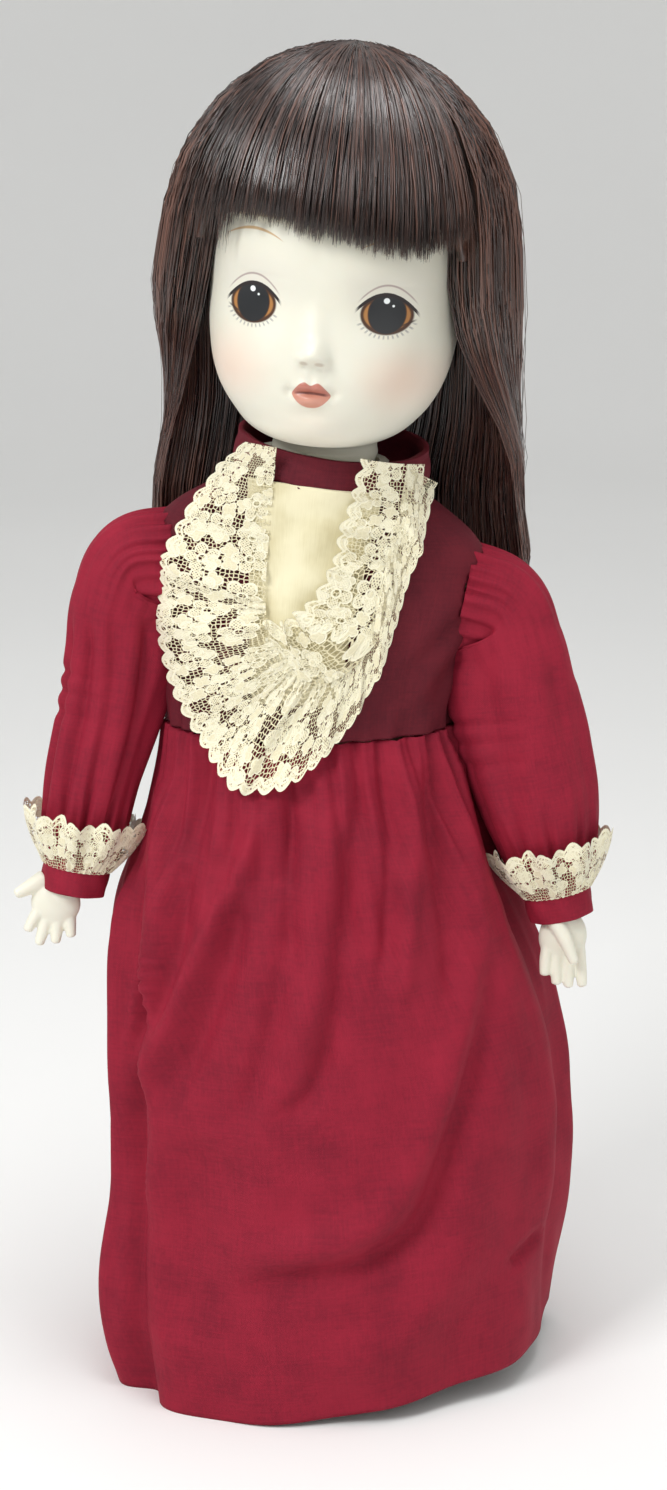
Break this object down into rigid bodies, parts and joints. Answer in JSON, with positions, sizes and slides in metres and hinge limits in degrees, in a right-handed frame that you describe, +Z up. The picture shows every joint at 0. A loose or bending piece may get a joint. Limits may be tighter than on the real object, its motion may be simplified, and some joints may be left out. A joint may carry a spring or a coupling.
{
  "type": "porcelain doll",
  "caption": "Dressed standing doll with a bisque head, shoulder plate and limbs on a stuffed cloth body, long wig, lace jabot and cuffs, and an ankle-length gathered dress.",
  "frame": {"origin": "on the floor, midway across the dressed doll's width and depth", "axes": "+Z up along the doll's height; -Y is the way the doll faces; +X towards the doll's left hand"},
  "size_m": [0.1708, 0.0984, 0.3988],
  "materials": {
    "bisque": "unglazed satin bisque with painted features",
    "hair_fibre": "glossy dark brown wig fibre",
    "burgundy_cotton": "matt plain-woven cotton",
    "ivory_satin": "soft satin",
    "cream_lace": "machine lace on fine net",
    "white_cotton": "plain lawn",
    "muslin": "unbleached muslin",
    "shoe_vinyl": "black patent vinyl",
    "sole_vinyl": "matt brown-black sole",
    "turned_wood": "plain beech",
    "rubber_elastic": "cotton-covered elastic",
    "pearl_button": "pearly plastic"
  },
  "bodies": {
    "torso": {"cloth_torso": "muslin", "shoulder_plate": "bisque", "neck_disc_lower": "turned_wood", "neck_elastic": "rubber_elastic", "dress_bodice": "burgundy_cotton", "dress_collar": "burgundy_cotton", "back_button_top": "pearl_button", "back_button_middle": "pearl_button", "back_button_low": "pearl_button", "ivory_insert": "ivory_satin", "jabot_lace": "cream_lace", "bloomer_seat": "white_cotton"},
    "head": {"bisque_head": "bisque", "crown_pate": "muslin", "neck_disc_upper": "turned_wood", "wig_cap": "muslin", "wig_crown": "hair_fibre", "wig_fringe": "hair_fibre", "wig_left_lock": "hair_fibre", "wig_right_lock": "hair_fibre", "wig_back_hair": "hair_fibre"},
    "lap": {"skirt": "burgundy_cotton", "petticoat": "white_cotton"},
    "left_arm": {"left_upper_arm": "muslin", "left_sleeve": "burgundy_cotton"},
    "left_forearm": {"left_bisque_forearm": "bisque", "left_cuff": "burgundy_cotton", "left_cuff_lace": "cream_lace"},
    "left_leg": {"left_upper_leg": "muslin", "left_bisque_shin": "bisque", "left_bloomer_leg": "white_cotton", "left_sock": "white_cotton", "left_shoe": "shoe_vinyl", "left_shoe_sole": "sole_vinyl", "left_shoe_strap": "shoe_vinyl"},
    "right_arm": {"right_upper_arm": "muslin", "right_sleeve": "burgundy_cotton"},
    "right_forearm": {"right_bisque_forearm": "bisque", "right_cuff": "burgundy_cotton", "right_cuff_lace": "cream_lace"},
    "right_leg": {"right_upper_leg": "muslin", "right_bisque_shin": "bisque", "right_bloomer_leg": "white_cotton", "right_sock": "white_cotton", "right_shoe": "shoe_vinyl", "right_shoe_sole": "sole_vinyl", "right_shoe_strap": "shoe_vinyl"}
  },
  "joints": [
    {"name": "neck_turn", "type": "hinge", "parent": "torso", "child": "head", "pos_m": [0.00314, 0.00088, 0.28403], "axis": [0.1132, 0, 0.9936], "range_deg": [-35, 35], "deforming": ["wig_left_lock", "wig_right_lock", "wig_back_hair"]},
    {"name": "left_shoulder", "type": "hinge", "parent": "torso", "child": "left_arm", "pos_m": [0.05016, 0.00088, 0.24445], "axis": [-0.9936, 0, 0.1132], "range_deg": [-20, 95]},
    {"name": "left_elbow", "type": "hinge", "parent": "left_arm", "child": "left_forearm", "pos_m": [0.06366, -0.00312, 0.19511], "axis": [-0.9936, 0, 0.1132], "range_deg": [0, 50], "deforming": ["left_sleeve", "left_upper_arm"]},
    {"name": "right_shoulder", "type": "hinge", "parent": "torso", "child": "right_arm", "pos_m": [-0.04721, 0.00088, 0.25555], "axis": [-0.9936, 0, 0.1132], "range_deg": [-20, 95]},
    {"name": "right_elbow", "type": "hinge", "parent": "right_arm", "child": "right_forearm", "pos_m": [-0.06242, -0.00312, 0.20595], "axis": [-0.9936, 0, 0.1132], "range_deg": [0, 50], "deforming": ["right_sleeve", "right_upper_arm"]},
    {"name": "sit_fold", "type": "hinge", "parent": "torso", "child": "lap", "pos_m": [0.00575, 0.00288, 0.152], "axis": [-1, 0, 0], "range_deg": [0, 70], "deforming": ["skirt", "petticoat"]},
    {"name": "left_leg_swing", "type": "hinge", "parent": "lap", "child": "left_leg", "pos_m": [0.02025, 0.00288, 0.152], "axis": [-1, 0, 0], "range_deg": [-5, 5], "deforming": ["left_upper_leg", "left_bloomer_leg"]},
    {"name": "right_leg_swing", "type": "hinge", "parent": "lap", "child": "right_leg", "pos_m": [-0.00875, 0.00288, 0.152], "axis": [-1, 0, 0], "range_deg": [-5, 5], "deforming": ["right_upper_leg", "right_bloomer_leg"]}
  ]
}
